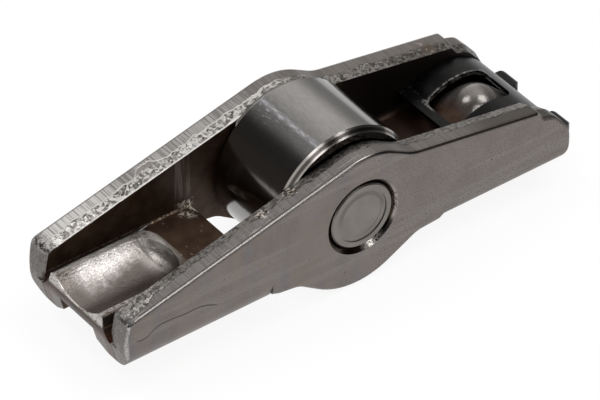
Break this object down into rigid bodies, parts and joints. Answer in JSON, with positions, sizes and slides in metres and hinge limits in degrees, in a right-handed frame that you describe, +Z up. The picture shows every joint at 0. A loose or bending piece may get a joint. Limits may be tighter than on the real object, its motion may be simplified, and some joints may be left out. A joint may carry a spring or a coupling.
{
  "type": "rocker arm",
  "caption": "Pressed steel roller rocker arm: ball socket at one end, trough and sliding valve pad at the other, roller on needles between, spring clip over the socket.",
  "frame": {"origin": "middle of the roller's axis, halfway between the two side walls", "axes": "+X along the arm towards the ball socket, -X towards the valve pad, +Y across the arm along the roller's axis, +Z up, away from the valve"},
  "size_m": [0.0622, 0.018, 0.018],
  "materials": {
    "pressed_steel": "hardened and tumbled, warm grey satin with bright sheared edges",
    "bearing_steel": "ground and polished",
    "pin_steel": "ground, ends staked and satin",
    "spring_steel": "black oxide with a grey sheen"
  },
  "bodies": {
    "arm": {"arm_body": "pressed_steel", "axle_pin": "pin_steel", "retaining_clip": "spring_steel"},
    "roller": {"roller": "bearing_steel"},
    "needles": {"needle_01": "bearing_steel", "needle_02": "bearing_steel", "needle_03": "bearing_steel", "needle_04": "bearing_steel", "needle_05": "bearing_steel", "needle_06": "bearing_steel", "needle_07": "bearing_steel", "needle_08": "bearing_steel", "needle_09": "bearing_steel", "needle_10": "bearing_steel", "needle_11": "bearing_steel", "needle_12": "bearing_steel", "needle_13": "bearing_steel", "needle_14": "bearing_steel", "needle_15": "bearing_steel", "needle_16": "bearing_steel", "needle_17": "bearing_steel", "needle_18": "bearing_steel"}
  },
  "joints": [
    {"name": "roller_spin", "type": "hinge", "parent": "arm", "child": "roller", "pos_m": [0, 0, 0], "axis": [0, 1, 0], "continuous": true},
    {"name": "needle_orbit", "type": "hinge", "parent": "arm", "child": "needles", "pos_m": [0, 0, 0], "axis": [0, 1, 0], "continuous": true}
  ],
  "couplings": [
    {"joint": "needle_orbit", "follows": "roller_spin", "ratio": 0.5855}
  ]
}
